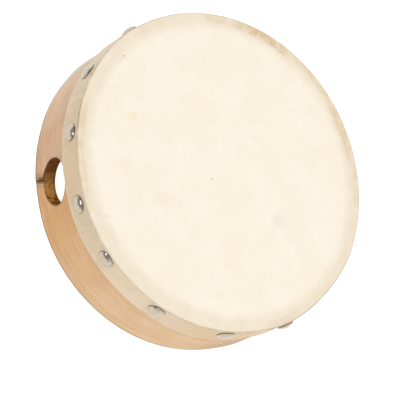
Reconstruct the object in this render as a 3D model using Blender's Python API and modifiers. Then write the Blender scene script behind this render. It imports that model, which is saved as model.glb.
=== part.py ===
"""Tamborim: a hand drum whose skin is nailed over a bent-wood hoop, open at the back.

Metres, +Z up. The drum lies on its open rim: the origin is the centre of that rim, the skin
faces +Z and the thumb hole faces -Y. Angles round the drum start at -Y and run anticlockwise
as seen from the skin.
"""
import math

import bmesh
import bpy
from mathutils import Matrix

# Hoop
HOOP_RADIUS = 0.1000           # outside, at the open rim
HOOP_DRAWN_IN = 0.0006         # the tight skin draws its end of the hoop in by this much
HOOP_INNER_RADIUS = 0.0925
HOOP_HEIGHT = 0.0545
EDGE_EASE = 0.0008             # rounding of the hoop's edges

# Skin
GAP = 0.0003                   # clearance between solids that touch
SKIN_THICKNESS = 0.0007
FOLD_RADIUS = 0.0015           # outside radius where the skin turns down over the hoop
HEM_HEIGHT = 0.0368            # height of the skirt's cut edge above the open rim

# Thumb hole, drilled through the hoop's lap joint
HOLE_DEG = -0.33               # a little off the joint's middle
HOLE_HEIGHT = 0.02325          # height of its middle above the open rim, halfway through the wall
HOLE_TILT_DEG = 3.5            # its outer end lies lower
HOLE_HALF_WIDTH = 0.0140
HOLE_HALF_HEIGHT = 0.01295

# Open end of the lap joint, a leaning groove from the open rim up to the thumb hole
JOINT_DEG = -3.85              # at the open rim
JOINT_LEAN_DEG = 12.0          # from upright, its upper end towards +X
JOINT_WIDTH = 0.0010
JOINT_DEPTH = 0.0016

# Nails
NAIL_COUNT = 15
FIRST_NAIL_DEG = -61.5
NAIL_DRIFT_DEG = (0.0, -0.1, 0.3, 0.7, -3.5, -2.2, 1.2, 2.7, 2.4, 2.0, 1.7, 1.3, 1.0, 0.7, -2.5)
NAIL_HEIGHT = 0.0473           # above the open rim
NAIL_RISE_MM = (-0.5, -2.4, 0, 0, 1.9, 1.3, 1.2, 0, -1.8, -0.8, 0.4, -0.3, 0.7, -0.6, -1.5)
NAIL_HEAD_RADIUS = 0.0053
NAIL_DOME_HEIGHT = 0.0023
NAIL_PIN_RADIUS = 0.0008
NAIL_PIN_LENGTH = 0.0062
NAIL_POINT_LENGTH = 0.0016

# Fineness: steps round an axis, and segments across a rounded edge
DRUM_STEPS = 96
HOLE_STEPS = 40
NAIL_STEPS = 14
PIN_HOLE_STEPS = 8
EDGE_SEGMENTS = 2
FOLD_SEGMENTS = 3
DOME_SEGMENTS = 3

MERGE_DISTANCE = 0.00001
OVERCUT = 0.002                # how far a cutter stands out of what it cuts


def clear_scene():
    """Remove every object of the open scene."""
    for old in list(bpy.data.objects):
        bpy.data.objects.remove(old, do_unlink=True)


def make_collection(name):
    """Return a new collection in the scene."""
    collection = bpy.data.collections.new(name)
    bpy.context.scene.collection.children.link(collection)
    return collection


def make_material(name, colour, roughness, metallic=0.0):
    """Return a Principled material in one plain finish."""
    material = bpy.data.materials.new(name)
    material.use_nodes = True
    shader = material.node_tree.nodes["Principled BSDF"]
    shader.inputs["Base Color"].default_value = (*colour, 1.0)
    shader.inputs["Roughness"].default_value = roughness
    shader.inputs["Metallic"].default_value = metallic
    return material


def arc(centre_x, centre_z, radius, start_deg, end_deg, segments):
    """Return the points of a profile's rounded corner."""
    points = []
    for i in range(segments + 1):
        angle = math.radians(start_deg + (end_deg - start_deg) * i / segments)
        points.append((centre_x + radius * math.cos(angle), centre_z + radius * math.sin(angle)))
    return points


def profile_mesh(name, points, closed):
    """Return a mesh of edges only, a profile in the XZ plane."""
    mesh = bpy.data.meshes.new(name)
    edges = [(i, i + 1) for i in range(len(points) - 1)]
    if closed:
        edges.append((len(points) - 1, 0))
    mesh.from_pydata([(x, 0.0, z) for x, z in points], edges, [])
    return mesh


def add_object(name, mesh, collection, material=None):
    """Put a mesh in the scene as a named object."""
    part = bpy.data.objects.new(name, mesh)
    collection.objects.link(part)
    if material and not mesh.materials:
        mesh.materials.append(material)
    return part


def turn(part, steps):
    """Turn a profile once round its Z axis."""
    screw = part.modifiers.new("turn", "SCREW")
    screw.axis = "Z"
    screw.angle = math.tau
    screw.steps = steps
    screw.render_steps = steps
    screw.use_smooth_shade = True
    screw.use_merge_vertices = True
    screw.merge_threshold = MERGE_DISTANCE


def cut(part, cutter):
    """Cut a cutter's shape out of a part."""
    boolean = part.modifiers.new(cutter.name, "BOOLEAN")
    boolean.operation = "DIFFERENCE"
    boolean.solver = "EXACT"
    boolean.object = cutter


def even_shading(part):
    """Shade flat faces flat between smooth rounded edges."""
    normals = part.modifiers.new("even_shading", "WEIGHTED_NORMAL")
    normals.keep_sharp = True


def hoop_radius_at(height):
    """Return the hoop's outside radius at a height above the open rim."""
    return HOOP_RADIUS - HOOP_DRAWN_IN * height / HOOP_HEIGHT


def outward(angle_deg, radius, height):
    """Return the frame of a spot on the drum's side, its Z axis pointing out."""
    turned = Matrix.Rotation(math.radians(angle_deg), 4, "Z")
    pushed_out = Matrix.Translation((0.0, -radius, height))
    return turned @ pushed_out @ Matrix.Rotation(math.pi / 2, 4, "X")


def nail_places():
    """Return each nail's angle and height: an even row, with the drift of nails set by eye."""
    pitch = 360.0 / NAIL_COUNT
    return [
        (FIRST_NAIL_DEG + pitch * i + drift, NAIL_HEIGHT + rise / 1000)
        for i, (drift, rise) in enumerate(zip(NAIL_DRIFT_DEG, NAIL_RISE_MM))
    ]


def make_cutter(name, mesh_maker, collection):
    """Return a cutter object from a function that fills a bmesh."""
    bm = bmesh.new()
    mesh_maker(bm)
    mesh = bpy.data.meshes.new(name)
    bm.to_mesh(mesh)
    bm.free()
    cutter = add_object(name, mesh, collection)
    cutter.hide_render = True
    cutter.display_type = "WIRE"
    return cutter


def fill_thumb_hole(bm):
    """Add the oval plug that drills the thumb hole."""
    wall_middle = (HOOP_RADIUS + HOOP_INNER_RADIUS) / 2
    depth = HOOP_RADIUS - HOOP_INNER_RADIUS + 4 * OVERCUT
    oval = Matrix.Diagonal((HOLE_HALF_WIDTH, HOLE_HALF_HEIGHT, 1.0, 1.0))
    tilt = Matrix.Rotation(math.radians(HOLE_TILT_DEG), 4, "X")
    bmesh.ops.create_cone(
        bm, cap_ends=True, segments=HOLE_STEPS, radius1=1.0, radius2=1.0, depth=depth,
        matrix=outward(HOLE_DEG, wall_middle, HOLE_HEIGHT) @ tilt @ oval)


def fill_joint_groove(bm):
    """Add the slim block that opens the lap joint between the open rim and the thumb hole."""
    depth = JOINT_DEPTH + OVERCUT
    height = HOLE_HEIGHT - HOLE_HALF_HEIGHT / 2 + OVERCUT
    foot = outward(JOINT_DEG, HOOP_RADIUS - JOINT_DEPTH + depth / 2, 0.0)
    lean = Matrix.Rotation(math.radians(-JOINT_LEAN_DEG), 4, "Z")
    middle = Matrix.Translation((0.0, height / 2 - OVERCUT, 0.0))
    size = Matrix.Diagonal((JOINT_WIDTH, height, depth, 1.0))
    bmesh.ops.create_cube(bm, size=1.0, matrix=foot @ lean @ middle @ size)


def fill_pin_holes(bm):
    """Add one rod for each nail's pin."""
    depth = NAIL_PIN_LENGTH + GAP + OVERCUT
    for angle, height in nail_places():
        middle = nail_seat_radius(height) + OVERCUT - depth / 2
        bmesh.ops.create_cone(
            bm, cap_ends=True, segments=PIN_HOLE_STEPS, radius1=NAIL_PIN_RADIUS + GAP,
            radius2=NAIL_PIN_RADIUS + GAP, depth=depth,
            matrix=outward(angle, middle, height))


def nail_seat_radius(height):
    """Return how far from the drum's axis the underside of a nail's head lies."""
    return hoop_radius_at(height) + 2 * GAP + SKIN_THICKNESS


def build_hoop(collection, material, cutters):
    """Build the bent-wood hoop."""
    front_radius = hoop_radius_at(HOOP_HEIGHT)
    top = HOOP_HEIGHT - EDGE_EASE
    inner = HOOP_INNER_RADIUS + EDGE_EASE
    profile = arc(front_radius - EDGE_EASE, top, EDGE_EASE, 90, 0, EDGE_SEGMENTS)
    profile += arc(HOOP_RADIUS - EDGE_EASE, EDGE_EASE, EDGE_EASE, 0, -90, EDGE_SEGMENTS)
    profile += arc(inner, EDGE_EASE, EDGE_EASE, -90, -180, EDGE_SEGMENTS)
    profile += arc(inner, top, EDGE_EASE, 180, 90, EDGE_SEGMENTS)
    hoop = add_object("hoop", profile_mesh("hoop", profile, closed=True), collection, material)
    turn(hoop, DRUM_STEPS)
    for cutter in cutters:
        cut(hoop, cutter)
    even_shading(hoop)


def build_skin(collection, material, pin_holes):
    """Build the skin: the tight head, the fold over the hoop's edge and the skirt."""
    top = HOOP_HEIGHT + GAP + SKIN_THICKNESS
    side = hoop_radius_at(HOOP_HEIGHT) + GAP + SKIN_THICKNESS
    hem = hoop_radius_at(HEM_HEIGHT) + GAP + SKIN_THICKNESS
    fold_x = side - FOLD_RADIUS
    fold_z = top - FOLD_RADIUS
    profile = [(0.0, top)]
    profile += arc(fold_x, fold_z, FOLD_RADIUS, 90, 0, FOLD_SEGMENTS)
    profile += [(hem, HEM_HEIGHT), (hem - SKIN_THICKNESS, HEM_HEIGHT)]
    profile += arc(fold_x, fold_z, FOLD_RADIUS - SKIN_THICKNESS, 0, 90, FOLD_SEGMENTS)
    profile += [(0.0, top - SKIN_THICKNESS)]
    skin = add_object("skin", profile_mesh("skin", profile, closed=False), collection, material)
    turn(skin, DRUM_STEPS)
    cut(skin, pin_holes)
    even_shading(skin)


def build_nails(collection, material):
    """Build the domed nails, each driven straight in through the skirt."""
    dome_radius = (NAIL_HEAD_RADIUS ** 2 + NAIL_DOME_HEIGHT ** 2) / (2 * NAIL_DOME_HEIGHT)
    dome_centre = NAIL_DOME_HEIGHT - dome_radius
    rim_deg = math.degrees(math.acos(NAIL_HEAD_RADIUS / dome_radius))
    profile = arc(0.0, dome_centre, dome_radius, 90, rim_deg, DOME_SEGMENTS)
    profile[0] = (0.0, NAIL_DOME_HEIGHT)
    profile += [
        (NAIL_PIN_RADIUS, 0.0),
        (NAIL_PIN_RADIUS, NAIL_POINT_LENGTH - NAIL_PIN_LENGTH),
        (0.0, -NAIL_PIN_LENGTH),
    ]
    mesh = profile_mesh("nail", profile, closed=False)
    for number, (angle, height) in enumerate(nail_places(), start=1):
        nail = add_object(f"nail_{number:02d}", mesh, collection, material)
        place = outward(angle, nail_seat_radius(height), height)
        nail.location = place.to_translation()
        nail.rotation_euler = place.to_euler()
        turn(nail, NAIL_STEPS)


def main():
    clear_scene()
    parts = make_collection("tamborim")
    cutters = make_collection("tamborim_cutters")
    wood = make_material("bent_wood", (0.72, 0.46, 0.25), 0.5)
    hide = make_material("hide", (0.86, 0.78, 0.62), 0.6)
    nickel = make_material("nickel", (0.70, 0.67, 0.62), 0.2, metallic=1.0)
    thumb_hole = make_cutter("thumb_hole", fill_thumb_hole, cutters)
    joint_groove = make_cutter("joint_groove", fill_joint_groove, cutters)
    pin_holes = make_cutter("pin_holes", fill_pin_holes, cutters)
    build_hoop(parts, wood, (thumb_hole, joint_groove, pin_holes))
    build_skin(parts, hide, pin_holes)
    build_nails(parts, nickel)


if __name__ == "__main__":
    main()
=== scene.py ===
"""Tamborim: the finish of a hand drum whose skin is nailed over a bent-wood hoop.

Laid out as a Blender add-on. Metres, +Z up, the drum lying on its open rim. Angles round the
drum start at the thumb hole, which faces -Y, and run anticlockwise as seen from the skin.
"""
from math import acos, atan2, cos, degrees, exp, pi, radians, sin, sqrt, tan, tau

import bmesh
import bpy
from bpy.props import FloatProperty, FloatVectorProperty, PointerProperty
from mathutils import Matrix, Vector, noise


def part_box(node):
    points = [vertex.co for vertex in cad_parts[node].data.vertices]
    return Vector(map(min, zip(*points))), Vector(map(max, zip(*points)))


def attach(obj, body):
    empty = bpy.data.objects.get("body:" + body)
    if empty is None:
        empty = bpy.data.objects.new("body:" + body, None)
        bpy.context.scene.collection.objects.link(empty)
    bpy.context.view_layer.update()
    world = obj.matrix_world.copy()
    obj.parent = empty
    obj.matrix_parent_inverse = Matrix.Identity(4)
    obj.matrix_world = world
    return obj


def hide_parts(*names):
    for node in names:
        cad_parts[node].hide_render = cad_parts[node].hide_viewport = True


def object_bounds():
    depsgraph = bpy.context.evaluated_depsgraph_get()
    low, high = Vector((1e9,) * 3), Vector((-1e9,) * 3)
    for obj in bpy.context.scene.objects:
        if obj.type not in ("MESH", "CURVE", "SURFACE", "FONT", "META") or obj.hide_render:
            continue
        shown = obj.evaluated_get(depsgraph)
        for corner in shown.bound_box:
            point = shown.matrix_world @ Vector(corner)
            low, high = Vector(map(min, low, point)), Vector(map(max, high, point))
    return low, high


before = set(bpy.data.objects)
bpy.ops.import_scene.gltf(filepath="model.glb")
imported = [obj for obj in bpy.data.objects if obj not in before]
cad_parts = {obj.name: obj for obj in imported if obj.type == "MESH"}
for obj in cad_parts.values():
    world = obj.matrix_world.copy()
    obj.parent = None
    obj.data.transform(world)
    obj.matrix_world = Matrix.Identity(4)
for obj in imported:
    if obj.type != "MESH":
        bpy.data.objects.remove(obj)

bl_info = {
    "name": "Tamborim",
    "version": (1, 0, 0),
    "blender": (4, 5, 0),
    "location": "3D View > Sidebar > Tamborim",
    "description": "Builds a hand drum: bent-wood hoop, nailed hide skin and domed nails",
    "category": "Add Mesh",
}

SOLID_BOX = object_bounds()
HOOP_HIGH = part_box("hoop")[1]
SKIN_LOW, SKIN_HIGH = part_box("skin")
NAIL_NODES = sorted(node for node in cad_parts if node.startswith("nail_"))

MM = 0.001
MERGE_DISTANCE = 1e-6

# Faces round each turned shape, and cuts across a slot's blade
HOOP_STEPS = 360
SKIN_STEPS = 480
HOLE_STEPS = 96
NAIL_STEPS = 48
SLOT_CUTS = 14

# Where shading turns sharp, in degrees
WOOD_SHARP = 50.0
HIDE_SHARP = 60.0
NICKEL_SHARP = 40.0

# The bent hoop's sway from a circle: waves round the hoop, size in millimetres, start in degrees
HOOP_SWAY = ((1, 0.16, 60), (2, 0.59, 23), (3, 0.15, 212), (4, 0.11, 207))

# How the open rim sits off the skin's circle, in millimetres: towards +X, towards +Y, all round
RIM_SHIFT = (0.34, -0.67, -0.18)

# The flatter stretch at the joint: middle and half width in degrees
FLAT_STRETCH = (-2.0, 16.0)

# The strip's sprung outer end: its length in degrees, and its top as a share of the hoop's height
SPRUNG_LENGTH = 9.0
SPRUNG_TOP = 0.62

# Where the open joint ends under the hole's middle, as a share of the hole's half height
JOINT_TOP = 0.9

# The line inside where the strip's inner end lies: how far past the joint in degrees, its width
# and its depth
INNER_END_ANGLE = 34.0
INNER_END_WIDTH = 0.35 * MM
INNER_END_DEPTH = 0.4 * MM

# How wide the drill's eased ends open, in eases, how far cutters run past the wood, and how a
# slot's sides wander along it
HOLE_MOUTH = 1.3
HOLE_OVERRUN = 3.0 * MM
SLOT_OVERRUN = 2.0 * MM
SLOT_WANDER = 0.12 * MM
SLOT_WANDER_PITCH = 3.0 * MM

# Nicks in the hem: depth in millimetres and how many to a degree
NICK_DEPTH = 0.25
NICK_RATE = 0.35

# The skirt's ripples and the creases over the hoop's edge: rate round the drum, height of a
# ripple, row of the noise that the creases follow, and their depth
RIPPLES = 9.0
RIPPLE_HEIGHT = 9.0 * MM
CREASES = 5.0
CREASE_ROW = 3.0
CREASE_DEPTH = 0.15 * MM

# The skirt between its nails: how near a nail holds it down and how far away it is free, in
# degrees, then how much of its bulge lies between nails and in ripples
HELD_ANGLE = 3.0
FREE_ANGLE = 11.0
BULGE_BETWEEN = 0.7
BULGE_RIPPLES = 0.5

# Shares of the skirt's height, from the fold: where it has come loose and where its hem flares
LOOSE_BY = 0.35
FLARE_FROM = 0.68

# Shares of the hoop's radius between which the head takes up the hoop's sway, and its creases
SWAY_FROM, SWAY_TO = 0.6, 0.97
CREASED_FROM, CREASED_TO = 0.95, 0.985

# How far a nail's lip stands off the skirt, the room its dome keeps inside the solids' box, the
# lip's thickness, its chamfer's run inwards and share of that thickness, the share of the head's
# radius where the lip's dark ring of painted shadow and tarnish starts, and the length of the
# pin's point
NAIL_SEAT = 0.05 * MM
NAIL_ROOM = 0.1 * MM
NAIL_LIP = 0.25 * MM
NAIL_CHAMFER = 0.15 * MM
NAIL_CHAMFER_RISE = 0.4
NAIL_DARK_LIP = 0.93
NAIL_POINT = 1.6 * MM

# Places where the strip bends more sharply: middle and half width in degrees, then how far it
# stands out at the open rim and at the skin, in millimetres
HOOP_BENDS = (
    (-55, 6, 0.45, 0.45), (-22, 7, -0.3, 0.0), (108, 9, 1.0, 0.55), (128, 6, -0.3, -0.3),
    (147, 5, 0.35, 0.35),
)

# The skirt's hand-cut edge: angle in degrees, height above the open rim in millimetres
HEM_OUTLINE = (
    (-50, 35.2), (-37, 35.6), (-30, 36.0), (-24, 36.1), (-19, 36.4), (-12, 36.4), (-6, 36.8),
    (-2, 37.4), (3, 37.5), (8, 37.0), (22, 37.0), (34, 37.2), (44, 37.9), (54, 37.6), (64, 36.6),
    (74, 36.3), (86, 36.4), (100, 36.2), (130, 35.0), (165, 36.8), (200, 35.2), (240, 36.9),
    (280, 35.4),
)

# Tan stains along the fold: middle in degrees, half width in degrees, reach inwards in
# millimetres, strength
RIM_STAINS = (
    (-118, 14, 7.0, 0.72), (-103, 16, 7.0, 0.35), (-146, 20, 5.0, 0.42), (-165, 14, 6.5, 0.48),
    (178, 16, 5.0, 0.35), (150, 16, 6.0, 0.12), (122, 18, 5.0, 0.2), (104, 10, 5.0, 0.25),
    (-62, 20, 6.0, 0.12), (-8, 26, 5.0, 0.4),
)

# Marks beside the open joint: middle and half width in millimetres along the strip, colour,
# strength, and whether they show only towards the thumb hole. The first, broad soft mark is
# painted shadow beside the joint
JOINT_MARKS_AND_SHADOW = (
    (-2.4, 3.4, (0.36, 0.235, 0.12), 0.6, False), (2.8, 2.2, (0.44, 0.27, 0.15), 0.7, True),
    (2.6, 1.9, (0.50, 0.32, 0.19), 0.5, False), (1.1, 1.0, (0.24, 0.13, 0.055), 0.85, False),
    (-0.9, 1.8, (0.12, 0.055, 0.012), 0.8, True), (0.0, 0.9, (0.11, 0.047, 0.006), 0.97, False),
)

# Tones of the thumb hole's wall, round from one end (-1) to the other (1): where each starts,
# where it is full, colour, strength. The darker tones towards the -1 end are partly painted shade
# inside the hole
HOLE_TONES_AND_SHADE = (
    (0.05, -0.3, (0.34, 0.165, 0.045), 0.85), (-0.35, -0.6, (0.19, 0.085, 0.015), 0.9),
    (-0.6, -0.9, (0.15, 0.048, 0.018), 0.95), (0.2, 0.5, (0.42, 0.19, 0.025), 0.75),
    (0.42, 0.72, (0.20, 0.065, 0.002), 0.95),
)

# Tones of the wood and of the skirt: middle and half width in degrees, colour, strength
WOOD_TONES = (
    (-60, 24, (0.62, 0.555, 0.49), 0.9), (-33, 14, (0.70, 0.53, 0.40), 0.4),
    (99, 15, (0.52, 0.35, 0.205), 0.75),
)
SKIRT_TONES = (
    (-2, 16, (0.71, 0.505, 0.30), 0.5), (66, 18, (0.72, 0.555, 0.41), 0.6),
    (44, 12, (0.80, 0.66, 0.47), 0.6), (84, 22, (0.67, 0.485, 0.275), 0.8),
    (-34, 12, (0.71, 0.56, 0.385), 0.5), (-58, 20, (0.71, 0.60, 0.465), 0.8),
    (140, 30, (0.66, 0.49, 0.31), 0.5), (-120, 34, (0.68, 0.50, 0.31), 0.5),
)

# Small marks on the head: x and y in millimetres, radius in millimetres, colour setting, strength
HEAD_MARKS = (
    (-32, -59, 5.0, "yellow_mark", 0.28), (-2, -69, 6.0, "yellow_mark", 0.1),
    (18, -48, 6.0, "yellow_mark", 0.14), (-43, -54, 4.0, "yellow_mark", 0.12),
    (-69, -59.5, 1.0, "dark_mark", 1.0), (6, -10, 1.1, "dark_mark", 0.5),
    (29, -85, 3.0, "grey_mark", 0.3), (32, 35, 7.0, "grey_mark", 0.2),
    (-20, 25, 1.2, "dark_mark", 0.15),
)

# Grain of each material: how fine it is along each axis, then the noise's detail and roughness.
# The wood's runs along the strip
BANDS = ((7.0, 90.0, 90.0), 3.0, 0.5)
FINE_GRAIN = ((28.0, 900.0, 900.0), 5.0, 0.65)
STREAKS = ((48.0, 380.0, 380.0), 4.0, 0.6)
HIDE_STREAKS = ((60.0, 60.0, 25.0), 5.0, 0.6)
HIDE_CREASES = ((300.0, 300.0, 45.0), 3.0, 0.5)
SCRATCHES = ((900.0, 900.0, 4000.0), 2.0, 0.5)

# The colour sockets of a Mix node
MIX_AMOUNT, MIX_UNDER, MIX_OVER = 0, 6, 7
MIX_RESULT = 2

# Softboxes: name, place, width, height and power in watts. The overhead one's place is a point;
# the others' is a bearing from -Y towards +X, an elevation, both in degrees, and a distance
OVERHEAD_SOFTBOX = ("overhead_softbox", (0.1, 0.3, 2.2), 2.4, 2.4, 31.6)
SOFTBOXES = (
    ("front_softbox", (0.0, 10.5, 1.5), 0.62, 0.2, 2.2),
    ("right_softbox", (92.0, 13.0, 1.8), 3.4, 1.0, 5.0),
    ("left_softbox", (-115.0, 13.0, 1.8), 3.0, 1.0, 4.2),
)

# Where the softboxes point
LIT_POINT = Vector((0.0, 0.0, 0.03))


# ------------ settings

def length(name, description, default):
    """Return a length setting, in metres."""
    return FloatProperty(name=name, description=description, default=default, unit="LENGTH")


def number(name, description, default):
    """Return a plain number's setting."""
    return FloatProperty(name=name, description=description, default=default)


def rotation(name, description, turn):
    """Return an angle setting, given in degrees."""
    return FloatProperty(name=name, description=description, default=radians(turn), unit="ROTATION")


def tone(name, what, default):
    """Return a colour setting."""
    return FloatVectorProperty(
        name=name, description=f"Colour of {what}", default=default, subtype="COLOR")


class HoopSettings(bpy.types.PropertyGroup):
    """Sizes and colours of the bent-wood hoop."""

    radius: length("Radius", "Outside radius at the open rim", HOOP_HIGH.x)
    height: length("Height", "From the open rim to the edge under the skin", HOOP_HIGH.z)
    wall: length("Wall", "Thickness of the bent strip at the open rim", 7.5 * MM)
    drawn_in: length("Drawn in", "How much the tight skin narrows its end of the hoop", 0.6 * MM)
    edge_ease: length("Edge ease", "Rounding of the hoop's edges", 0.8 * MM)
    hole_angle: rotation("Hole angle", "Where the thumb hole is drilled, from -Y", -0.33)
    hole_height: length("Hole height", "Middle of the thumb hole above the open rim", 23.25 * MM)
    hole_half_width: length(
        "Hole half width", "Half the thumb hole's width round the hoop", 14.0 * MM)
    hole_half_height: length("Hole half height", "Half the thumb hole's height", 12.95 * MM)
    hole_tilt: rotation("Hole tilt", "How far the thumb hole's outer end points down", 3.5)
    hole_ease: length("Hole ease", "Rounding of the thumb hole's edges", 0.25 * MM)
    joint_angle: rotation(
        "Joint angle", "Where the lap joint opens at the open rim, from -Y", -3.85)
    joint_lean: rotation("Joint lean", "How far the joint leans from upright", 12.0)
    joint_width: length("Joint width", "Width of the open end of the lap joint", 0.8 * MM)
    joint_depth: length("Joint depth", "Depth of the open end of the lap joint", 1.6 * MM)
    joint_lift: length("Joint lift", "How far the strip's end springs out at the joint", 0.3 * MM)
    flat_spot: length("Flat spot", "How much flatter the strip lies at the joint", 0.83 * MM)
    warm_wood: tone("Warm wood", "the strip's warmer end", (0.655, 0.35, 0.135))
    pale_wood: tone("Pale wood", "the middle of the strip", (0.72, 0.49, 0.283))
    pink_wood: tone("Pink wood", "the strip's pinker end", (0.61, 0.38, 0.235))
    grain_wood: tone("Grain", "the darker grain and flecks", (0.42, 0.23, 0.11))
    drilled_wood: tone("Drilled wood", "the thumb hole's wall", (0.62, 0.33, 0.10))
    gritty_wood: tone("Gritty wood", "the dark specks on the hole's wall", (0.17, 0.07, 0.02))
    scorched_wood: tone("Scorched wood", "the burnt edges of hole and joint", (0.06, 0.026, 0.008))
    bleached_wood: tone("Bleached wood", "the paler streaks in the grain", (0.80, 0.56, 0.35))
    worn_wood: tone("Worn wood", "patches rubbed pale", (0.84, 0.63, 0.46))
    blushed_wood: tone("Blushed wood", "small redder patches", (0.60, 0.36, 0.22))
    chipped_wood: tone("Chipped wood", "fresh chips on the hole's wall", (0.70, 0.48, 0.26))
    sooty_wood: tone("Sooty wood", "the hole's inner edge", (0.09, 0.05, 0.012))
    # Painted shade on the open rim's rounded outer edge
    rim_edge_shade: tone(
        "Handled wood", "the grime on the open rim's outer edge", (0.20, 0.16, 0.125))


class SkinSettings(bpy.types.PropertyGroup):
    """Sizes and colours of the hide skin."""

    top: length("Top", "Height of the head above the open rim", SKIN_HIGH.z)
    thickness: length("Thickness", "Thickness of the hide", 0.7 * MM)
    clearance: length("Clearance", "Room between the hide and the wood", 0.3 * MM)
    fold_radius: length("Fold radius", "Outside radius of the fold over the hoop's edge", 1.5 * MM)
    bulge: length("Bulge", "How far the skirt stands off the wood between nails", 0.2 * MM)
    flare: length("Flare", "How far the dried hem turns out from the wood", 0.1 * MM)
    hide: tone("Hide", "the head", (0.885, 0.815, 0.69))
    shaded_hide: tone("Shaded hide", "the head's thicker patches", (0.87, 0.795, 0.665))
    rim: tone("Rim", "the hide where it lies on the hoop's edge", (0.77, 0.655, 0.505))
    stain: tone("Stain", "the tan stains along the fold", (0.60, 0.41, 0.19))
    skirt: tone("Skirt", "the skirt", (0.74, 0.58, 0.40))
    shaded_skirt: tone("Shaded skirt", "the skirt's darker patches", (0.68, 0.53, 0.36))
    hem_shade: tone("Hem shade", "the skirt's lower part", (0.66, 0.56, 0.39))
    crease: tone("Crease", "the skirt's fine upright creases", (0.54, 0.43, 0.28))
    green_hide: tone("Green hide", "the skirt's greener patches", (0.62, 0.55, 0.37))
    pink_hide: tone("Pink hide", "the skirt's pinker patches", (0.82, 0.615, 0.46))
    yellow_mark: tone("Yellow mark", "yellow marks on the head", (0.78, 0.64, 0.36))
    grey_mark: tone("Grey mark", "grey marks on the head", (0.66, 0.63, 0.56))
    dark_mark: tone("Dark mark", "pores and specks on the head", (0.36, 0.25, 0.15))
    cut_edge: tone("Cut edge", "the skirt's paler cut edge", (0.80, 0.68, 0.52))
    # Painted shade along the fold's rounding and along the hem's lower edge, with some dirt
    fold_shade_and_grime: tone("Fold grime", "the worn line along the fold", (0.38, 0.29, 0.17))
    # Painted shade on the fold's rounding on the far side of the drum
    far_fold_shade: tone(
        "Dusty edge", "the fold's greyer stretch across from the hole",
        (0.40, 0.38, 0.34))


class NailSettings(bpy.types.PropertyGroup):
    """Sizes and finish of the domed nails."""

    head_radius: length("Head radius", "Radius of a nail's head", 5.3 * MM)
    dome_height: length("Dome height", "Height of a nail's dome", 2.3 * MM)
    pin_radius: length("Pin radius", "Radius of a nail's pin", 0.8 * MM)
    pin_length: length("Pin length", "Length of a nail's pin", 6.2 * MM)
    tilt: rotation("Tilt", "The most that a nail leans from straight", 3.0)
    nickel: tone("Nickel", "the plating", (0.505, 0.44, 0.365))
    tarnish: tone("Tarnish", "dull spots in the plating", (0.36, 0.30, 0.24))
    # The dark ring round a nail's lip: painted shadow where the lip meets the hide, with some
    # tarnish
    shade_and_grime: tone("Grime", "the dark line round a nail's lip", (0.10, 0.08, 0.055))


class StageSettings(bpy.types.PropertyGroup):
    """Camera, floor and lights."""

    azimuth: rotation("Azimuth", "Camera's bearing from -Y towards +X", 21.51)
    elevation: rotation("Elevation", "Camera's angle above the floor", 54.46)
    roll: rotation("Roll", "Camera's turn about its own axis", 64.2)
    distance: length("Distance", "From the camera to its aim", 1.2064)
    aim: FloatVectorProperty(
        name="Aim", description="Point that the camera looks at",
        default=(6.35 * MM, 12.19 * MM, 6.44 * MM), subtype="XYZ", unit="LENGTH")
    lens: number("Lens", "Focal length in millimetres", 173.9)
    floor_size: length("Floor size", "Length of the floor's sides", 3.2)
    floor_front: length("Floor front", "From the drum's axis to the floor's front edge", 0.24)
    floor: tone("Floor", "the floor", (0.35, 0.35, 0.35))
    floor_glow: number("Floor glow", "How much light the floor gives by itself", 0.9)
    ceiling: number("Ceiling", "Brightness of the room above the drum", 0.6)
    walls: number("Walls", "Brightness of the room level with the drum", 0.45)
    room: tone("Room", "the room's light", (1.0, 0.99, 0.97))


# ------------ shapes

def spot(angle, radius, height):
    """Return a point by its angle round the drum, distance from the axis and height."""
    return Vector((sin(angle) * radius, -cos(angle) * radius, height))


def angle_of(point):
    """Return a point's angle round the drum."""
    return atan2(point.x, -point.y)


def smooth_step(value, low, high):
    """Return 0 below low, 1 above high and a smooth ease between."""
    share = min(max((value - low) / (high - low), 0.0), 1.0)
    return share * share * (3.0 - 2.0 * share)


def angle_between(first, second):
    """Return the signed turn from the second angle to the first."""
    return (first - second + pi) % tau - pi


def out_of_round(hoop, angle, height):
    """Return how far the bent hoop departs from a true, upright cylinder."""
    sway = sum(size * cos(waves * angle - radians(start)) for waves, size, start in HOOP_SWAY)
    down = 1.0 - height / hoop.height
    sway += down * (RIM_SHIFT[0] * sin(angle) + RIM_SHIFT[1] * cos(angle) + RIM_SHIFT[2])
    for middle, half_width, at_rim, at_skin in HOOP_BENDS:
        away = degrees(angle_between(angle, radians(middle))) / half_width
        sway += (at_skin + (at_rim - at_skin) * down) * exp(-away * away)
    middle, half_width = FLAT_STRETCH
    from_joint = angle_between(angle, radians(middle)) / radians(half_width)
    return sway * MM - hoop.flat_spot * exp(-from_joint * from_joint)


def wave(angle, rate, row):
    """Return an uneven wave round the drum, the same again after a whole turn."""
    return noise.noise(Vector((sin(angle) * rate, cos(angle) * rate, row)))


def hem_height(angle):
    """Return the height of the skirt's cut edge at an angle."""
    first = HEM_OUTLINE[0][0]
    where = first + (degrees(angle) - first) % 360.0
    corners = HEM_OUTLINE + ((first + 360.0, HEM_OUTLINE[0][1]),)
    for (start, start_height), (end, end_height) in zip(corners, corners[1:]):
        if where <= end:
            break
    share = smooth_step(where, start, end)
    nick = NICK_DEPTH * noise.noise(Vector((where * NICK_RATE, 0.0, 0.0)))
    return (start_height + (end_height - start_height) * share + nick) * MM


def arc(centre, radius, start_deg, end_deg, segments):
    """Return the points of a rounded corner in a profile of (radius, height) pairs."""
    points = []
    for i in range(segments + 1):
        angle = radians(start_deg + (end_deg - start_deg) * i / segments)
        points.append((centre[0] + radius * cos(angle), centre[1] + radius * sin(angle)))
    return points


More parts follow.
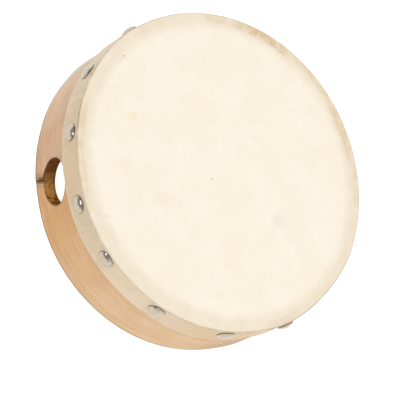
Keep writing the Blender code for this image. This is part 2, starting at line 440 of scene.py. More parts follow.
def row_points(start, end, rows):
    """Return the points between two profile corners, without the corners themselves."""
    return [
        (start[0] + (end[0] - start[0]) * i / rows, start[1] + (end[1] - start[1]) * i / rows)
        for i in range(1, rows)
    ]


def outline(runs):
    """Return a profile from runs of points, each given with the rows that lead to the next."""
    profile = []
    for (points, rows), (after, _) in zip(runs, runs[1:] + runs[:1]):
        profile += points + row_points(points[-1], after[0], rows)
    return profile


def face_outwards(bm):
    """Point a closed shape's faces outwards."""
    bmesh.ops.recalc_face_normals(bm, faces=bm.faces)
    if bm.calc_volume(signed=True) < 0.0:
        bmesh.ops.reverse_faces(bm, faces=bm.faces)


def turned(profile, steps, closed=False):
    """Return a bmesh of a profile of (radius, height) pairs turned once round the Z axis."""
    bm = bmesh.new()
    verts = [bm.verts.new((radius, 0.0, height)) for radius, height in profile]
    edges = [bm.edges.new(pair) for pair in zip(verts, verts[1:])]
    if closed:
        edges.append(bm.edges.new((verts[-1], verts[0])))
    bmesh.ops.spin(
        bm, geom=verts + edges, cent=(0.0, 0.0, 0.0), axis=(0.0, 0.0, 1.0), angle=tau,
        steps=steps, use_merge=True)
    bmesh.ops.remove_doubles(bm, verts=bm.verts, dist=MERGE_DISTANCE)
    face_outwards(bm)
    return bm


def add_object(name, data):
    """Put a new object in the scene."""
    thing = bpy.data.objects.new(name, data)
    bpy.context.scene.collection.objects.link(thing)
    return thing


def add_piece(name, bm):
    """Turn a bmesh into an object at the origin."""
    mesh = bpy.data.meshes.new(name)
    bm.to_mesh(mesh)
    bm.free()
    return add_object(name, mesh)


def settle(piece):
    """Apply a piece's modifiers to its mesh."""
    bpy.context.view_layer.update()
    evaluated = piece.evaluated_get(bpy.context.evaluated_depsgraph_get())
    mesh = bpy.data.meshes.new_from_object(evaluated)
    piece.modifiers.clear()
    piece.data = mesh


def carve(piece, cutters):
    """Cut shapes out of a piece."""
    for cutter in cutters:
        boolean = piece.modifiers.new(cutter.name, "BOOLEAN")
        boolean.operation = "DIFFERENCE"
        boolean.solver = "EXACT"
        boolean.object = cutter
    settle(piece)
    for cutter in cutters:
        bpy.data.objects.remove(cutter)


def shade(piece, sharp_deg):
    """Shade a piece smooth, with sharp edges past an angle and its big faces kept even."""
    piece.data.shade_smooth()
    piece.data.set_sharp_from_angle(angle=radians(sharp_deg))
    normals = piece.modifiers.new("even_shading", "WEIGHTED_NORMAL")
    normals.keep_sharp = True
    settle(piece)


def dress(piece, material, nodes):
    """Give a piece its material and let it stand for its solids."""
    piece.data.materials.clear()
    piece.data.materials.append(material)
    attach(piece, "root")
    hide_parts(*nodes)


# ------------ hoop

def hoop_radius_at(hoop, height):
    """Return the hoop's outside radius at a height."""
    return hoop.radius - hoop.drawn_in * height / hoop.height


def joint_angle_at(hoop, height):
    """Return the angle of the lap joint's open end, which leans a little."""
    return hoop.joint_angle + tan(hoop.joint_lean) * height / hoop.radius


def hoop_blank(hoop):
    """Return the bent strip before it is drilled, as a bmesh."""
    ease = hoop.edge_ease
    inner = hoop.radius - hoop.wall
    front = hoop_radius_at(hoop, hoop.height)
    profile = outline([
        (arc((front - ease, hoop.height - ease), ease, 90, 0, 4), 16),
        (arc((hoop.radius - ease, ease), ease, 0, -90, 4), 3),
        (arc((inner + ease, ease), ease, -90, -180, 4), 8),
        (arc((inner + ease, hoop.height - ease), ease, 180, 90, 4), 3),
    ])
    bm = turned(profile, HOOP_STEPS, closed=True)
    middle = hoop.radius - hoop.wall / 2
    for vert in bm.verts:
        angle = angle_of(vert.co)
        radius = vert.co.xy.length
        past_joint = angle_between(angle, joint_angle_at(hoop, vert.co.z))
        offset = out_of_round(hoop, angle, vert.co.z)
        if radius > middle and past_joint < 0.0:
            sprung = 1.0 - smooth_step(-past_joint, 0.0, radians(SPRUNG_LENGTH))
            free = 1.0 - smooth_step(vert.co.z, hoop.hole_height, hoop.height * SPRUNG_TOP)
            offset += hoop.joint_lift * sprung * free
        vert.co = spot(angle, radius + offset, vert.co.z)
    return bm


def thumb_hole_cutter(hoop):
    """Return the tilted plug that drills the thumb hole and eases both its edges."""
    ease = hoop.hole_ease
    half_width = hoop.hole_half_width
    mouth = half_width + ease * HOLE_MOUTH
    outer = hoop_radius_at(hoop, hoop.hole_height) + out_of_round(hoop, 0.0, hoop.hole_height)
    inner = hoop.radius - hoop.wall + out_of_round(hoop, 0.0, hoop.hole_height)
    profile = outline([
        ([(0.0, outer + HOLE_OVERRUN), (mouth, outer + HOLE_OVERRUN)], 1),
        (arc((half_width + ease, outer - ease), ease, 90, 180, 5), 6),
        (arc((half_width + ease, inner + ease), ease, 180, 270, 5), 1),
        ([(mouth, inner - HOLE_OVERRUN), (0.0, inner - HOLE_OVERRUN)], 1),
    ])
    bm = turned(profile, HOLE_STEPS)
    squeeze = hoop.hole_half_height / half_width
    fall = tan(hoop.hole_tilt)
    middle = hoop.radius - hoop.wall / 2
    turn = Matrix.Rotation(hoop.hole_angle, 3, "Z")
    for vert in bm.verts:
        across, up, out = vert.co
        depth = sqrt(out * out - across * across)
        height = hoop.hole_height + up * squeeze - (depth - middle) * fall
        vert.co = turn @ Vector((across, -depth, height))
    face_outwards(bm)
    return add_piece("thumb_hole_cutter", bm)


def slot_cutter(name, angle_at, width, outside, inside, height):
    """Return a thin upright blade between two distances from the axis, up to a height."""
    bm = bmesh.new()
    bmesh.ops.create_cube(bm, size=1.0)
    upright = [e for e in bm.edges if abs(e.verts[0].co.z - e.verts[1].co.z) > 0.5]
    bmesh.ops.subdivide_edges(bm, edges=upright, cuts=SLOT_CUTS, use_grid_fill=True)
    for vert in bm.verts:
        level = (vert.co.z + 0.5) * (height + SLOT_OVERRUN) - SLOT_OVERRUN
        radius = outside if vert.co.y > 0.0 else inside
        wander = noise.noise(Vector((0.0, vert.co.y, level / SLOT_WANDER_PITCH)))
        across = vert.co.x * width + SLOT_WANDER * wander
        vert.co = spot(angle_at(level) + across / radius, radius, level)
    face_outwards(bm)
    return add_piece(name, bm)


def build_hoop(hoop):
    """Build the hoop: bent, drilled, with its lap joint open below the thumb hole."""
    piece = add_piece("bent_hoop", hoop_blank(hoop))
    outer = hoop.radius
    inner = hoop.radius - hoop.wall
    open_joint = slot_cutter(
        "open_joint_cutter", lambda level: joint_angle_at(hoop, level), hoop.joint_width,
        outer + SLOT_OVERRUN, outer - hoop.joint_depth,
        hoop.hole_height - JOINT_TOP * hoop.hole_half_height)
    inner_end = slot_cutter(
        "inner_end_cutter", lambda level: hoop.joint_angle + radians(INNER_END_ANGLE),
        INNER_END_WIDTH, inner + INNER_END_DEPTH, inner - SLOT_OVERRUN,
        hoop.height + SLOT_OVERRUN)
    carve(piece, (thumb_hole_cutter(hoop), open_joint, inner_end))
    shade(piece, WOOD_SHARP)
    return piece


# ------------ skin

def skirt_radius_at(skin, hoop, height):
    """Return the skirt's outside radius at a height, before it ripples."""
    return hoop_radius_at(hoop, height) + skin.clearance + skin.thickness


def skin_profile(skin, hoop):
    """Return the skin's profile with a level hem, from the middle of its top to that below."""
    side = skirt_radius_at(skin, hoop, hoop.height)
    hem = skirt_radius_at(skin, hoop, SKIN_LOW.z)
    fold = (side - skin.fold_radius, skin.top - skin.fold_radius)
    half = skin.thickness / 2
    return outline([
        ([(0.0, skin.top)], 18),
        (arc(fold, skin.fold_radius, 90, 0, 8), 20),
        (arc((hem - half, SKIN_LOW.z + half), half, 0, -180, 5), 8),
        (arc(fold, skin.fold_radius - skin.thickness, 0, 90, 4), 8),
        ([(0.0, skin.top - skin.thickness)], 1),
    ])


def nail_places():
    """Return each nail's angle and height, from its solid."""
    places = []
    for node in NAIL_NODES:
        low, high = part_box(node)
        middle = (low + high) / 2
        places.append((angle_of(middle), middle.z))
    return places


def skirt_relief(skin, angle, height, share, places):
    """Return how far the skirt stands out at a spot, share running from fold to hem."""
    nearest = min(abs(angle_between(angle, nail_angle)) for nail_angle, _ in places)
    between = smooth_step(nearest, radians(HELD_ANGLE), radians(FREE_ANGLE))
    ripple = wave(angle, RIPPLES, height / RIPPLE_HEIGHT)
    loose = smooth_step(share, 0.0, LOOSE_BY) * (0.35 + 0.65 * share)
    flare = skin.flare * smooth_step(share, FLARE_FROM, 1.0) * (0.9 + 0.5 * ripple)
    return skin.bulge * loose * (BULGE_BETWEEN * between + BULGE_RIPPLES * ripple) + flare


def build_skin(skin, hoop):
    """Build the skin: tight head, fold, and a skirt with a hand-cut hem."""
    bm = turned(skin_profile(skin, hoop), SKIN_STEPS)
    drop = bm.verts.layers.float.new("drop")
    bend = bm.verts.layers.float.new("bend")
    places = nail_places()
    fold_height = skin.top - skin.fold_radius
    level_hem = SKIN_LOW.z
    for vert in bm.verts:
        radius = vert.co.xy.length
        if radius < 1.0 * MM:
            continue
        angle = angle_of(vert.co)
        height = vert.co.z
        share = max(fold_height - height, 0.0) / (fold_height - level_hem)
        vert[drop] = share
        if radius > hoop.radius - skin.fold_radius:
            rise = min(max((height - fold_height) / skin.fold_radius, 0.0), 1.0)
            vert[bend] = acos(rise) * 2.0 / pi
        height += share * (hem_height(angle) - level_hem)
        rim = smooth_step(radius, SWAY_FROM * hoop.radius, SWAY_TO * hoop.radius)
        crease = wave(angle, CREASES, CREASE_ROW)
        edge = smooth_step(radius, CREASED_FROM * hoop.radius, CREASED_TO * hoop.radius)
        edge *= 1.0 - share
        relief = skirt_relief(skin, angle, height, share, places)
        radius += rim * out_of_round(hoop, angle, height) + relief
        height -= CREASE_DEPTH * edge * (0.5 + crease)
        vert.co = spot(angle, radius, height)
    piece = add_piece("hide_skin", bm)
    shade(piece, HIDE_SHARP)
    return piece


# ------------ nails

def nail_profile(nails):
    """Return a nail's profile, from the top of its dome to its point."""
    radius, height = nails.head_radius, nails.dome_height
    crown = height - NAIL_LIP
    ball = (radius * radius + crown * crown) / (2.0 * crown)
    edge_deg = degrees(acos(radius / ball))
    profile = arc((0.0, height - ball), ball, 90, edge_deg, 12)
    profile[0] = (0.0, height)
    profile += [(radius, NAIL_LIP * NAIL_CHAMFER_RISE), (radius - NAIL_CHAMFER, 0.0)]
    profile += [(nails.pin_radius, 0.0), (nails.pin_radius, NAIL_POINT - nails.pin_length)]
    profile.append((0.0, -nails.pin_length))
    return profile


def reach_at(angle):
    """Return how far from the axis the box of the solids reaches at an angle."""
    low, high = SOLID_BOX
    way = spot(angle, 1.0, 0.0)
    along_x = (high.x if way.x > 0.0 else low.x) / way.x
    along_y = (high.y if way.y > 0.0 else low.y) / way.y
    return min(along_x, along_y)


def build_nails(nails, skin, hoop):
    """Build a domed nail for each nail solid, each leaning a little its own way."""
    pieces = []
    radius = nails.head_radius
    for number, (angle, height) in enumerate(nail_places(), start=1):
        bm = turned(nail_profile(nails), NAIL_STEPS)
        seat = skirt_radius_at(skin, hoop, height) + NAIL_SEAT + out_of_round(hoop, angle, height)
        seat = min(seat, reach_at(angle) - nails.dome_height - NAIL_ROOM)
        nod = noise.noise(Vector((number * 3.7, 0.3, 0.0)))
        sway = noise.noise(Vector((0.4, number * 5.3, 0.0)))
        place = Matrix.Translation(spot(angle, seat, height)) @ Matrix.Rotation(angle, 4, "Z")
        place = place @ Matrix.Rotation(pi / 2, 4, "X")
        place = place @ Matrix.Rotation(nod * nails.tilt, 4, "X")
        place = place @ Matrix.Rotation(sway * nails.tilt, 4, "Y")
        lip = bm.verts.layers.float.new("lip")
        # How far out on the head the lip's ring of painted shadow and tarnish lies
        for vert in bm.verts:
            vert[lip] = smooth_step(vert.co.xy.length, radius * NAIL_DARK_LIP, radius)
        bmesh.ops.transform(bm, matrix=place, verts=bm.verts)
        piece = add_piece(f"domed_nail_{number:02d}", bm)
        shade(piece, NICKEL_SHARP)
        pieces.append(piece)
    return pieces


# ------------ material building blocks

def feed(socket, value):
    """Link a value to a socket, or set it there; a colour is given its alpha."""
    if isinstance(value, bpy.types.NodeSocket):
        socket.id_data.links.new(value, socket)
    elif socket.type == "RGBA":
        socket.default_value = (*value, 1.0)
    else:
        socket.default_value = value


def add_node(kind, inputs, **settings):
    """Add a shader node beside those that feed it, set its options and feed its inputs."""
    tree = next(v.id_data for v in inputs.values() if isinstance(v, bpy.types.NodeSocket))
    node = tree.nodes.new("ShaderNode" + kind)
    for name, value in settings.items():
        setattr(node, name, value)
    for name, value in inputs.items():
        feed(node.inputs[name], value)
    return node


def calc(operation, first, second=0.0, third=0.0):
    """Return the result of a math node."""
    inputs = {0: first, 1: second, 2: third}
    return add_node("Math", inputs, operation=operation).outputs[0]


def times(first, second):
    """Return one value multiplied by another."""
    return calc("MULTIPLY", first, second)


def less(first, second):
    """Return the second value taken from the first."""
    return calc("SUBTRACT", first, second)


def scaled(value, factor, offset):
    """Return a value multiplied by a factor, with an offset added."""
    return calc("MULTIPLY_ADD", value, factor, offset)


def fade(value, low, high, start=0.0, end=1.0):
    """Return a value eased from start to end while the input goes from low to high."""
    inputs = {"Value": value, "From Min": low, "From Max": high, "To Min": start, "To Max": end}
    node = add_node("MapRange", inputs, interpolation_type="SMOOTHSTEP")
    return node.outputs["Result"]


def blend(amount, under, over):
    """Return one colour laid over another."""
    inputs = {MIX_AMOUNT: amount, MIX_UNDER: under, MIX_OVER: over}
    return add_node("Mix", inputs, data_type="RGBA").outputs[MIX_RESULT]


def wash(under, over, value, low, high, strength):
    """Return a colour with another laid over it as a value goes from low to high."""
    return blend(fade(value, low, high, 0.0, strength), under, over)


def dab(under, over, amount, strength):
    """Return a colour with another laid over it by an amount and a strength."""
    return blend(times(amount, strength), under, over)


def measure(operation, *vectors):
    """Return the number that a vector math node gives."""
    inputs = dict(enumerate(vectors))
    return add_node("VectorMath", inputs, operation=operation).outputs["Value"]


def stretched(vector, scale):
    """Return a coordinate multiplied along each of its axes."""
    inputs = {0: vector, 1: scale}
    return add_node("VectorMath", inputs, operation="MULTIPLY").outputs["Vector"]


def from_axis(place):
    """Return the distance from the drum's axis."""
    return measure("LENGTH", stretched(place, (1.0, 1.0, 0.0)))


def stored(place, name):
    """Return a value stored on the piece's own points, in the tree that a place belongs to."""
    node = place.id_data.nodes.new("ShaderNodeAttribute")
    node.attribute_name = name
    return node.outputs["Fac"]


def cloud(vector, scale, detail=3.0, roughness=0.5):
    """Return a noise value about 0.5."""
    inputs = {"Vector": vector, "Scale": scale, "Detail": detail, "Roughness": roughness}
    return add_node("TexNoise", inputs).outputs["Fac"]


def grain(vector, stretch, detail, roughness):
    """Return a noise value of its own scale along each axis."""
    return cloud(stretched(vector, stretch), 1.0, detail, roughness)


def grouped(name, fill, vector, **numbers):
    """Return what a node group makes of a vector and numbers, filling the group when it is new."""
    tree = bpy.data.node_groups.get(name)
    if tree is None:
        tree = bpy.data.node_groups.new(name, "ShaderNodeTree")
        tree.interface.new_socket("Vector", in_out="INPUT", socket_type="NodeSocketVector")
        for number_name in numbers:
            tree.interface.new_socket(number_name, in_out="INPUT", socket_type="NodeSocketFloat")
        tree.interface.new_socket("Amount", in_out="OUTPUT", socket_type="NodeSocketFloat")
        given = tree.nodes.new("NodeGroupInput").outputs
        amount = tree.nodes.new("NodeGroupOutput").inputs["Amount"]
        feed(amount, fill(given))
    inputs = {"Vector": vector, **numbers}
    return add_node("Group", inputs, node_tree=tree).outputs["Amount"]


def fill_patches(given):
    """Soft patches: Size sets how big they are, Cover how much of the surface they take."""
    scale = calc("DIVIDE", 1.0, given["Size"])
    value = cloud(given["Vector"], scale, detail=4.0, roughness=0.55)
    low = scaled(less(1.0, given["Cover"]), 0.4, 0.2)
    return fade(value, low, calc("ADD", low, 0.2))


def fill_flecks(given):
    """Small separate flecks: Spacing sets how far apart, Share how many cells hold one."""
    scale = calc("DIVIDE", 1.0, given["Spacing"])
    cells = add_node("TexVoronoi", {"Vector": given["Vector"], "Scale": scale}).outputs
    draw = add_node("SeparateColor", {"Color": cells["Color"]}).outputs
    chosen = calc("LESS_THAN", draw["Red"], given["Share"])
    size = scaled(draw["Green"], 0.25, 0.12)
    inside = fade(cells["Distance"], size, times(size, 0.4))
    return times(chosen, inside)


def patches(vector, size, cover):
    """Return soft patches, 0 between them and 1 inside them."""
    return grouped("Soft patches", fill_patches, vector, Size=size, Cover=cover)


def flecks(vector, spacing, share):
    """Return small flecks, 0 between them and 1 inside them."""
    return grouped("Flecks", fill_flecks, vector, Spacing=spacing, Share=share)


def towards(place, radius, middle, half_width, strength):
    """Return an amount that fades from an angle round the drum to nothing on both sides."""
    direction = spot(radians(middle), 1.0, 0.0)
    cosine = calc("DIVIDE", measure("DOT_PRODUCT", place, direction), radius)
    return fade(cosine, cos(radians(half_width)), 1.0, 0.0, strength)


def toned(colour, place, radius, tones):
    """Return a colour with tones laid over it at their angles round the drum."""
    for middle, half_width, tint, strength in tones:
        amount = towards(place, radius, middle, half_width, strength)
        colour = blend(amount, colour, tint)
    return colour


def new_material(name):
    """Return a material with its shader and object coordinates."""
    material = bpy.data.materials.new(name)
    material.use_nodes = True
    nodes = material.node_tree.nodes
    return material, nodes["Principled BSDF"], nodes.new("ShaderNodeTexCoord").outputs["Object"]


def surface(shader, colour, roughness, relief, strength, depth):
    """Give a shader its colour, roughness and relief."""
    feed(shader.inputs["Base Color"], colour)
    feed(shader.inputs["Roughness"], roughness)
    inputs = {"Height": relief, "Strength": strength, "Distance": depth}
    feed(shader.inputs["Normal"], add_node("Bump", inputs).outputs["Normal"])


# ------------ wood

def strip_colour(hoop, turn):
    """Return the strip's colour along its length: warm end, pale middle, pink end."""
    share = scaled(turn, 1.0 / tau, 0.5)
    half = calc("PINGPONG", share, 0.5)
    pale = fade(half, 0.0, 0.16)
    pink_end = calc("GREATER_THAN", share, 0.5)
    end_colour = blend(pink_end, hoop.warm_wood, hoop.pink_wood)
    return blend(pale, end_colour, hoop.pale_wood)


def grained(hoop, colour, place, strip):
    """Return a colour with the wood's grain and wear, and the fine grain and flecks for relief."""
    bands = grain(strip, *BANDS)
    fine = grain(strip, *FINE_GRAIN)
    colour = wash(colour, hoop.grain_wood, bands, 0.45, 0.72, 0.28)
    colour = wash(colour, hoop.grain_wood, fine, 0.50, 0.78, 0.36)
    streaks = grain(strip, *STREAKS)
    colour = wash(colour, hoop.grain_wood, streaks, 0.5, 0.68, 0.2)
    colour = wash(colour, hoop.bleached_wood, streaks, 0.48, 0.32, 0.25)
    marks = flecks(stretched(strip, (0.22, 1.0, 1.0)), 0.9 * MM, 0.45)
    colour = dab(colour, hoop.grain_wood, marks, 0.20)
    worn = patches(place, 22.0 * MM, 0.4)
    colour = dab(colour, hoop.worn_wood, worn, 0.22)
    blush = patches(stretched(strip, (0.5, 1.0, 1.0)), 6.0 * MM, 0.4)
    return dab(colour, hoop.blushed_wood, blush, 0.2), fine, marks


def joint_marked(hoop, colour, x, y, z, wobble, near):
    """Return a colour with the marks beside the open joint, below the thumb hole, one of them
    painted shadow.
    """
    lean = times(z, tan(hoop.joint_lean) / hoop.radius)
    beside = less(calc("ARCTAN2", x, times(y, -1.0)), lean)
    beside = less(beside, hoop.joint_angle)
    beside = times(beside, hoop.radius)
    beside = scaled(wobble, 0.8 * MM, beside)
    hole_foot = hoop.hole_height - hoop.hole_half_height
    low = fade(z, hole_foot + 4.0 * MM, hole_foot + 1.0 * MM)
    low = times(low, near)
    near_hole = fade(z, 1.5 * MM, 6.0 * MM)
    for middle, half_width, tint, strength, rises in JOINT_MARKS_AND_SHADOW:
        away = calc("ABSOLUTE", less(beside, middle * MM))
        amount = fade(away, half_width * MM, half_width * 0.4 * MM, 0.0, strength)
        amount = times(amount, low)
        if rises:
            amount = times(amount, near_hole)
        colour = blend(amount, colour, tint)
    return colour


def scorch(across, up, ring, wobble):
    """Return how burnt the wood is round the thumb hole, most of all at its lower left."""
    width = scaled(wobble, 0.05, 0.085)
    burnt = fade(calc("DIVIDE", less(ring, 1.0), width), 1.0, 0.5)
    left = times(fade(across, -0.2, -0.32), fade(up, 0.25, -0.35))
    right = times(fade(across, 0.1, 0.5), 0.45)
    return times(burnt, calc("MAXIMUM", calc("MAXIMUM", left, right), 0.2))


def hole_wall(hoop, place, radius, across, wobble):
    """Return the colour of the thumb hole's drilled, gritty and partly burnt wall, with painted
    shade towards its -1 end.
    """
    flattened = hoop.radius + out_of_round(hoop, hoop.hole_angle, hoop.hole_height)
    depth = calc("DIVIDE", less(radius, flattened - hoop.wall), hoop.wall)
    ragged = scaled(wobble, 1.4, across)
    colour = hoop.drilled_wood
    # The wall's own tones, with painted shade darkening it towards the -1 end
    for start, full, tint, strength in HOLE_TONES_AND_SHADE:
        colour = wash(colour, tint, ragged, start, full, strength)
    grit = cloud(place, 800.0)
    colour = wash(colour, hoop.gritty_wood, grit, 0.5, 0.64, 0.6)
    chips = flecks(place, 1.5 * MM, 0.3)
    colour = dab(colour, hoop.chipped_wood, chips, 0.4)
    colour = wash(colour, hoop.sooty_wood, depth, 0.2, 0.08, 0.5)
    return wash(colour, hoop.scorched_wood, depth, 0.88, 0.97, 0.3)


def wood_material(hoop):
    """Pale bent hardwood: grain along the strip, flecks, drilled hole and open joint."""
    material, shader, place = new_material("bent_wood")
    x, y, z = add_node("SeparateXYZ", {"Vector": place}).outputs
    radius = from_axis(place)
    inputs = {"Vector": place, "Angle": -hoop.joint_angle}
    rotated = add_node("VectorRotate", inputs, rotation_type="Z_AXIS").outputs["Vector"]
    from_joint = add_node("SeparateXYZ", {"Vector": rotated}).outputs
    turn = calc("ARCTAN2", times(from_joint["X"], -1.0), from_joint["Y"])
    along = times(turn, hoop.radius)
    strip = add_node("CombineXYZ", {"X": along, "Y": z, "Z": radius}).outputs["Vector"]
    colour = toned(strip_colour(hoop, turn), place, radius, WOOD_TONES)
    colour, fine, marks = grained(hoop, colour, place, strip)

    front = calc("LESS_THAN", y, 0.0)
    outside = fade(radius, hoop.radius - 4.5 * MM, hoop.radius - 3.5 * MM)
    wobble = less(cloud(place, 400.0), 0.5)
    near = times(outside, front)
    colour = joint_marked(hoop, colour, x, y, z, wobble, near)

    hole_x = hoop.radius * sin(hoop.hole_angle)
    across = calc("DIVIDE", less(x, hole_x), hoop.hole_half_width)
    drop = less(radius, hoop.radius - hoop.wall / 2)
    level = less(scaled(drop, tan(hoop.hole_tilt), z), hoop.hole_height)
    up = calc("DIVIDE", level, hoop.hole_half_height)
    ring = calc("SQRT", calc("ADD", times(across, across), times(up, up)))
    scorched = times(scorch(across, up, ring, wobble), front)
    colour = dab(colour, hoop.scorched_wood, scorched, 0.95)

    drilled = times(fade(ring, 1.012, 1.004), front)
    wall_colour = hole_wall(hoop, place, radius, across, wobble)
    colour = blend(drilled, colour, wall_colour)
    # Painted shade on the open rim's rounded outer edge, which faces down, away from the lights
    rim_shade = times(fade(z, 2.4 * MM, 1.2 * MM), outside)
    rim_shade = times(rim_shade, scaled(wobble, 0.8, 0.65))
    colour = blend(rim_shade, colour, hoop.rim_edge_shade)

    burnt = calc("MAXIMUM", drilled, scorched)
    roughness = calc("MAXIMUM", fade(fine, 0.3, 0.7, 0.5, 0.66), burnt)
    shader.inputs["Specular IOR Level"].default_value = 0.15
    relief = less(fine, times(marks, 0.5))
    surface(shader, colour, roughness, relief, 0.25, 0.12 * MM)
    return material


# ------------ hide

def head_colour(skin, place, wander, mottle):
    """Return the head's colour: mottled cream with a few small marks."""
    colour = blend(patches(place, 20.0 * MM, 0.5), skin.hide, skin.shaded_hide)
    colour = wash(colour, skin.rim, mottle, 0.45, 0.8, 0.25)
    for mark_x, mark_y, size, tint, strength in HEAD_MARKS:
        away = measure("DISTANCE", place, (mark_x * MM, mark_y * MM, skin.top))
        away = scaled(wander, size * MM, away)
        colour = wash(colour, getattr(skin, tint), away, size * MM, size * 0.3 * MM, strength)
    return colour


def rim_coloured(skin, hoop, colour, place, radius, wander):
    """Return a colour darkened where the hide lies on the wood, with the fold's tan stains."""
    inner = hoop.radius - hoop.wall
    loose_radius = scaled(wander, 2.5 * MM, radius)
    on_wood = fade(radius, inner - 0.5 * MM, inner + 0.9 * MM)
    near_wood = fade(loose_radius, inner - 5.0 * MM, inner + 0.5 * MM)
    blotches = patches(place, 9.0 * MM, 0.5)
    near_wood = times(near_wood, scaled(blotches, 0.24, 0.32))
    colour = blend(near_wood, colour, skin.rim)
    colour = dab(colour, skin.rim, on_wood, 0.25)
    ragged = patches(place, 8.0 * MM, 0.55)
    for middle, half_width, reach, strength in RIM_STAINS:
        inside = towards(place, radius, middle, half_width, strength)
        start = hoop.radius - reach * MM
        amount = fade(loose_radius, start - 1.0 * MM, start + 2.0 * MM)
        amount = times(times(inside, amount), scaled(ragged, 0.65, 0.35))
        colour = blend(amount, colour, skin.stain)
    return colour


def skirt_colour(skin, place, radius, drop, mottle):
    """Return the skirt's colour: streaked, creased and patchy, with a pale cut edge and painted
    shadow along the hem's lower edge.
    """
    streaks = grain(place, *HIDE_STREAKS)
    colour = blend(fade(streaks, 0.35, 0.7), skin.skirt, skin.shaded_skirt)
    colour = wash(colour, skin.hem_shade, drop, 0.1, 0.8, 0.2)
    creases = grain(place, *HIDE_CREASES)
    colour = wash(colour, skin.crease, creases, 0.48, 0.64, 0.4)
    green = patches(place, 9.0 * MM, 0.45)
    colour = dab(colour, skin.green_hide, green, 0.45)
    pink = patches(stretched(place, (1.0, 1.0, -1.0)), 7.0 * MM, 0.4)
    colour = dab(colour, skin.pink_hide, pink, 0.45)
    colour = wash(colour, skin.stain, mottle, 0.5, 0.8, 0.3)
    colour = toned(colour, place, radius, SKIRT_TONES)
    colour = wash(colour, skin.cut_edge, drop, 0.91, 0.95, 0.5)
    # Painted shadow along the hem's lower edge, where the hide meets the wood
    return wash(colour, skin.fold_shade_and_grime, drop, 0.975, 0.99, 0.7)


def hide_material(skin, hoop):
    """Natural hide: mottled cream head, tan rim and stains, greyer skirt with a pale cut edge."""
    material, shader, place = new_material("hide")
    z = add_node("SeparateXYZ", {"Vector": place}).outputs["Z"]
    radius = from_axis(place)
    wander = less(cloud(place, 60.0, detail=4.0), 0.5)
    mottle = cloud(place, 420.0, detail=5.0, roughness=0.6)
    drop = stored(place, "drop")
    colour = head_colour(skin, place, wander, mottle)
    colour = rim_coloured(skin, hoop, colour, place, radius, wander)
    side_colour = skirt_colour(skin, place, radius, drop, mottle)
    side = fade(z, skin.top - 0.1 * MM, skin.top - 1.2 * MM)
    colour = blend(side, colour, side_colour)

    # Painted shade along the fold's rounding, with some dirt: a dark line round the fold, weaker
    # towards 40 degrees
    from_fold = calc("ABSOLUTE", less(z, skin.top - 0.75 * MM))
    fold = fade(from_fold, 0.55 * MM, 0.1 * MM)
    worn = fade(cloud(place, 120.0, detail=4.0), 0.40, 0.64, 0.0, 0.65)
    clean = towards(place, radius, 40.0, 60.0, -0.5)
    worn = times(worn, calc("ADD", clean, 1.0))
    colour = blend(times(fold, worn), colour, skin.fold_shade_and_grime)
    # Painted shade on the fold's rounding on the far side of the drum, where it turns away
    far = towards(place, radius, 180.0, 115.0, 0.6)
    far_shade = times(far, fade(stored(place, "bend"), 0.1, 0.3))
    far_shade = times(far_shade, fade(drop, 0.05, 0.0))
    colour = blend(far_shade, colour, skin.far_fold_shade)

    roughness = fade(mottle, 0.3, 0.7, 0.5, 0.65)
    pores = cloud(place, 1500.0, detail=2.0)
    relief = scaled(pores, 0.4, mottle)
    surface(shader, colour, roughness, relief, 0.2, 0.15 * MM)
    return material


# ------------ nickel

def nickel_material(nails):
    """Bright nickel plating with a few dull spots and fine handling scratches."""
    material, shader, place = new_material("nickel")
    shader.inputs["Metallic"].default_value = 1.0
    dull = patches(place, 2.5 * MM, 0.35)
    spots = flecks(place, 0.9 * MM, 0.15)
    dull = calc("MAXIMUM", times(dull, 0.35), times(spots, 0.6))
    colour = blend(dull, nails.nickel, nails.tarnish)
    # Painted shadow and tarnish round each nail's lip
    colour = dab(colour, nails.shade_and_grime, stored(place, "lip"), 0.85)
    roughness = fade(dull, 0.0, 0.6, 0.14, 0.38)
    scratches = grain(place, *SCRATCHES)
    dents = cloud(place, 500.0, detail=1.0)
    relief = scaled(scratches, 0.05, dents)
    surface(shader, colour, roughness, relief, 0.3, 0.25 * MM)
    return material


# ------------ stage

def build_floor(stage):
    """Lay a plain pale floor under the open rim."""
    bm = bmesh.new()
    bmesh.ops.create_grid(bm, x_segments=1, y_segments=1, size=stage.floor_size / 2)
    back = stage.floor_size / 2 - stage.floor_front
    bmesh.ops.translate(bm, verts=bm.verts, vec=(0.0, back, 0.0))
    floor = add_piece("floor", bm)
    material = bpy.data.materials.new("floor")
    material.use_nodes = True
    shader = material.node_tree.nodes["Principled BSDF"]
    feed(shader.inputs["Base Color"], stage.floor)
    shader.inputs["Roughness"].default_value = 0.9
    shader.inputs["Specular IOR Level"].default_value = 0.1
    shader.inputs["Emission Color"].default_value = (1.0, 1.0, 1.0, 1.0)
    shader.inputs["Emission Strength"].default_value = stage.floor_glow
    floor.data.materials.append(material)


def add_softbox(name, place, width, height, power):
    """Hang a soft light that faces the drum."""
    light = bpy.data.lights.new(name, "AREA")
    light.shape = "RECTANGLE"
    light.size = width
    light.size_y = height
    light.energy = power
    lamp = add_object(name, light)
    lamp.location = place
    lamp.rotation_euler = (LIT_POINT - Vector(place)).to_track_quat("-Z", "Y").to_euler()
    lamp.visible_camera = False


def bearing(azimuth, elevation, distance):
    """Return a point by its bearing from -Y towards +X, its elevation and its distance."""
    return spot(azimuth, cos(elevation) * distance, sin(elevation) * distance)


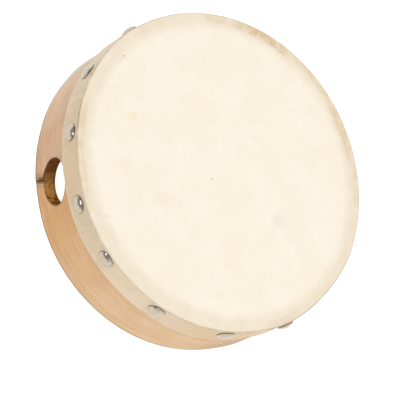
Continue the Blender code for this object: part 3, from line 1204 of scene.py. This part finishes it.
def build_lights(stage):
    """Set soft studio lights and the pale room round the drum."""
    add_softbox(*OVERHEAD_SOFTBOX)
    for name, (azimuth, elevation, distance), width, height, power in SOFTBOXES:
        place = bearing(radians(azimuth), radians(elevation), distance)
        add_softbox(name, place, width, height, power)
    world = bpy.data.worlds.new("room")
    world.use_nodes = True
    nodes = world.node_tree.nodes
    background = nodes["Background"].inputs
    feed(background["Color"], stage.room)
    direction = nodes.new("ShaderNodeTexCoord").outputs["Generated"]
    level = add_node("SeparateXYZ", {"Vector": direction}).outputs["Z"]
    room = fade(level, 0.1, 0.8, stage.walls, stage.ceiling)
    seen = nodes.new("ShaderNodeLightPath").outputs["Is Camera Ray"]
    feed(background["Strength"], calc("MAXIMUM", room, seen))
    bpy.context.scene.world = world
    bpy.context.scene.view_settings.view_transform = "Standard"


def build_camera(stage):
    """Set the camera at its bearing, rolled so that the drum stands on its side."""
    camera_data = bpy.data.cameras.new("camera")
    camera_data.lens = stage.lens
    camera = add_object("camera", camera_data)
    tilt = Matrix.Rotation(pi / 2 - stage.elevation, 4, "X")
    turn = Matrix.Rotation(stage.azimuth, 4, "Z")
    roll = Matrix.Rotation(stage.roll, 4, "Z")
    back = bearing(stage.azimuth, stage.elevation, stage.distance)
    camera.matrix_world = Matrix.Translation(Vector(stage.aim) + back) @ turn @ tilt @ roll
    bpy.context.scene.camera = camera


# ------------ operators, panel, registration

class TAMBORIM_OT_hoop(bpy.types.Operator):
    """Build the bent-wood hoop."""

    bl_idname = "tamborim.hoop"
    bl_label = "Hoop"

    def execute(self, context):
        hoop = context.scene.tamborim_hoop
        dress(build_hoop(hoop), wood_material(hoop), ["hoop"])
        return {"FINISHED"}


class TAMBORIM_OT_skin(bpy.types.Operator):
    """Build the hide skin."""

    bl_idname = "tamborim.skin"
    bl_label = "Skin"

    def execute(self, context):
        skin = context.scene.tamborim_skin
        hoop = context.scene.tamborim_hoop
        dress(build_skin(skin, hoop), hide_material(skin, hoop), ["skin"])
        return {"FINISHED"}


class TAMBORIM_OT_nails(bpy.types.Operator):
    """Build the domed nails."""

    bl_idname = "tamborim.nails"
    bl_label = "Nails"

    def execute(self, context):
        nails = context.scene.tamborim_nails
        pieces = build_nails(nails, context.scene.tamborim_skin, context.scene.tamborim_hoop)
        material = nickel_material(nails)
        for piece, node in zip(pieces, NAIL_NODES):
            dress(piece, material, [node])
        return {"FINISHED"}


class TAMBORIM_OT_stage(bpy.types.Operator):
    """Build the floor, the lights and the camera."""

    bl_idname = "tamborim.stage"
    bl_label = "Stage"

    def execute(self, context):
        stage = context.scene.tamborim_stage
        build_floor(stage)
        build_lights(stage)
        build_camera(stage)
        return {"FINISHED"}


class TAMBORIM_PT_panel(bpy.types.Panel):
    """Sizes, colours and build buttons of the tamborim."""

    bl_label = "Tamborim"
    bl_idname = "TAMBORIM_PT_panel"
    bl_space_type = "VIEW_3D"
    bl_region_type = "UI"
    bl_category = "Tamborim"

    def draw(self, context):
        for piece in SETTINGS:
            box = self.layout.box()
            box.operator(f"tamborim.{piece}")
            settings = getattr(context.scene, f"tamborim_{piece}")
            for name in settings.__annotations__:
                box.prop(settings, name)


SETTINGS = {
    "hoop": HoopSettings, "skin": SkinSettings, "nails": NailSettings, "stage": StageSettings,
}
CLASSES = (
    *SETTINGS.values(), TAMBORIM_OT_hoop, TAMBORIM_OT_skin, TAMBORIM_OT_nails, TAMBORIM_OT_stage,
    TAMBORIM_PT_panel,
)


def register():
    """Register the classes and hang their settings on the scene."""
    for cls in CLASSES:
        bpy.utils.register_class(cls)
    for piece, group in SETTINGS.items():
        setattr(bpy.types.Scene, f"tamborim_{piece}", PointerProperty(type=group))


def unregister():
    """Take the settings and the classes away again."""
    for piece in SETTINGS:
        delattr(bpy.types.Scene, f"tamborim_{piece}")
    for cls in reversed(CLASSES):
        bpy.utils.unregister_class(cls)


def main():
    """Build the drum and its stage."""
    register()
    bpy.ops.tamborim.hoop()
    bpy.ops.tamborim.skin()
    bpy.ops.tamborim.nails()
    bpy.ops.tamborim.stage()
    bpy.context.view_layer.update()


if __name__ == "__main__":
    main()
